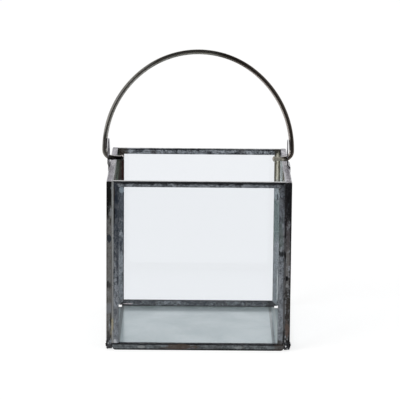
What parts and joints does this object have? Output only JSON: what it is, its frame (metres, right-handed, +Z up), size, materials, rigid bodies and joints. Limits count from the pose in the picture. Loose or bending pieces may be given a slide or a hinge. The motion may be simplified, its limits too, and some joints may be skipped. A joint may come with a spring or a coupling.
{
  "type": "candle lantern",
  "caption": "Open-topped square lantern of soldered zinc channel frames round clear glass panes, on a sheet zinc floor, with a steel bail handle swinging in sheet ears.",
  "frame": {"origin": "middle of the base, on the surface that the lantern stands on", "axes": "+Z up, front towards -Y, the bail's pivot along X"},
  "size_m": [0.1608, 0.15, 0.2383],
  "materials": {
    "patinated_zinc": "weathered zinc sheet, mottled blue-grey, darker along folds and feet",
    "clear_glass": "clear float glass, faint blue tint",
    "floor_zinc": "bright satin zinc sheet",
    "dark_steel": "oiled dark brown steel rod, worn brighter on top",
    "solder": "bright smooth solder with dull patches"
  },
  "bodies": {
    "lantern": {"front_top_rail": "patinated_zinc", "front_bottom_rail": "patinated_zinc", "front_left_post": "patinated_zinc", "front_right_post": "patinated_zinc", "back_top_rail": "patinated_zinc", "back_bottom_rail": "patinated_zinc", "back_left_post": "patinated_zinc", "back_right_post": "patinated_zinc", "left_top_rail": "patinated_zinc", "left_bottom_rail": "patinated_zinc", "left_front_post": "patinated_zinc", "left_back_post": "patinated_zinc", "right_top_rail": "patinated_zinc", "right_bottom_rail": "patinated_zinc", "right_front_post": "patinated_zinc", "right_back_post": "patinated_zinc", "front_glass": "clear_glass", "back_glass": "clear_glass", "left_glass": "clear_glass", "right_glass": "clear_glass", "base_tray": "floor_zinc", "left_ear": "patinated_zinc", "right_ear": "patinated_zinc", "front_left_seam": "solder", "front_right_seam": "solder", "back_left_seam": "solder", "back_right_seam": "solder"},
    "bail": {"bail": "dark_steel"}
  },
  "joints": [
    {"name": "bail_swing", "type": "hinge", "parent": "lantern", "child": "bail", "pos_m": [0, 0, 0.1462], "axis": [1, 0, 0], "range_deg": [-91.5, 91.5]}
  ]
}
